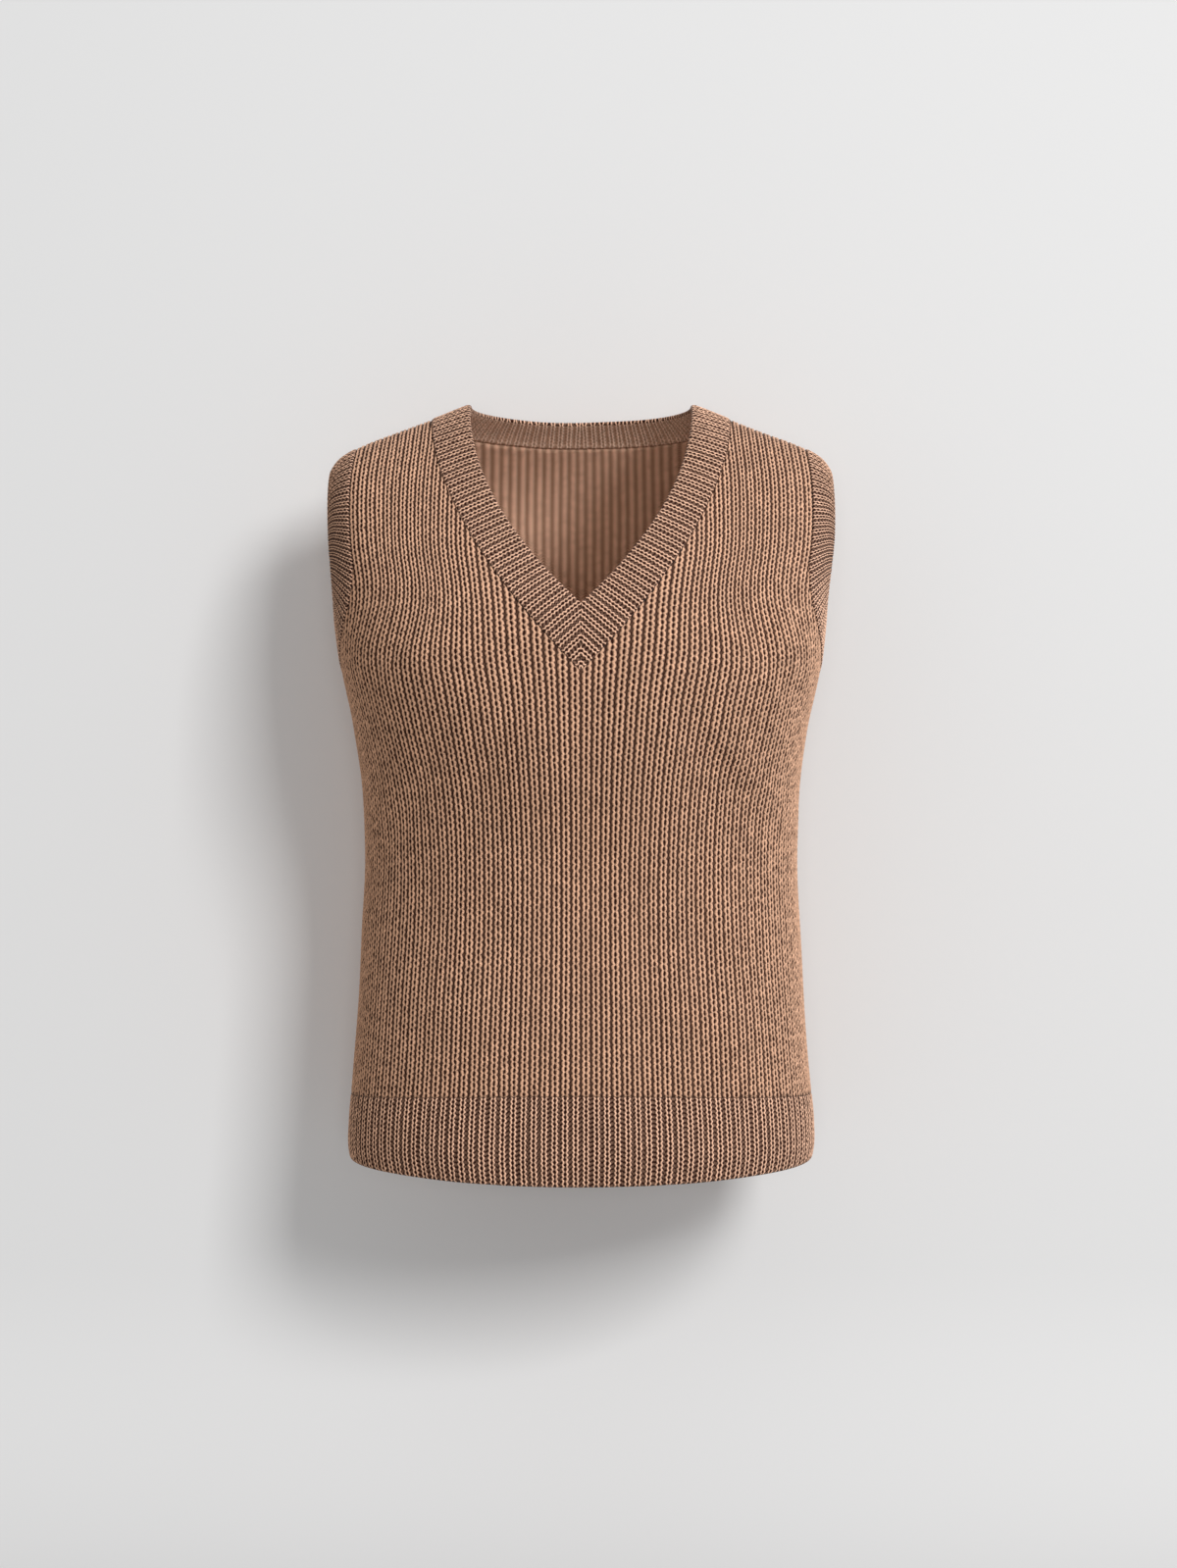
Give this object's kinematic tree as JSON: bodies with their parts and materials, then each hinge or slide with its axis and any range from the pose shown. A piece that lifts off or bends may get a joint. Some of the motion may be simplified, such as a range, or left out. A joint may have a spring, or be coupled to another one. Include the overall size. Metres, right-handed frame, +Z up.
{
  "type": "knitted v-neck sweater vest, filled out as worn",
  "caption": "Sleeveless V-neck sweater vest in chunky rib knit, held in its hollow worn shape, open at the neck, armholes and hem.",
  "frame": {"origin": "middle of the neck opening, level with the high points of the shoulders, where the wearer's shoulders carry the vest", "axes": "+Z up, the front of the vest faces -Y, and the wearer's left side is at +X"},
  "size_m": [0.3672, 0.2392, 0.5562],
  "materials": {
    "body_knit": "matt tan yarn in a chunky half-cardigan rib, with dark channels between the ribs",
    "rib_knit": "the same tan yarn in a finer 1x1 rib, slightly raised at the bands"
  },
  "bodies": {
    "root": {"front_panel": "body_knit", "back_panel": "body_knit", "front_welt": "rib_knit", "back_welt": "rib_knit", "neckband": "rib_knit", "armband_left": "rib_knit", "armband_right": "rib_knit"}
  },
  "joints": []
}
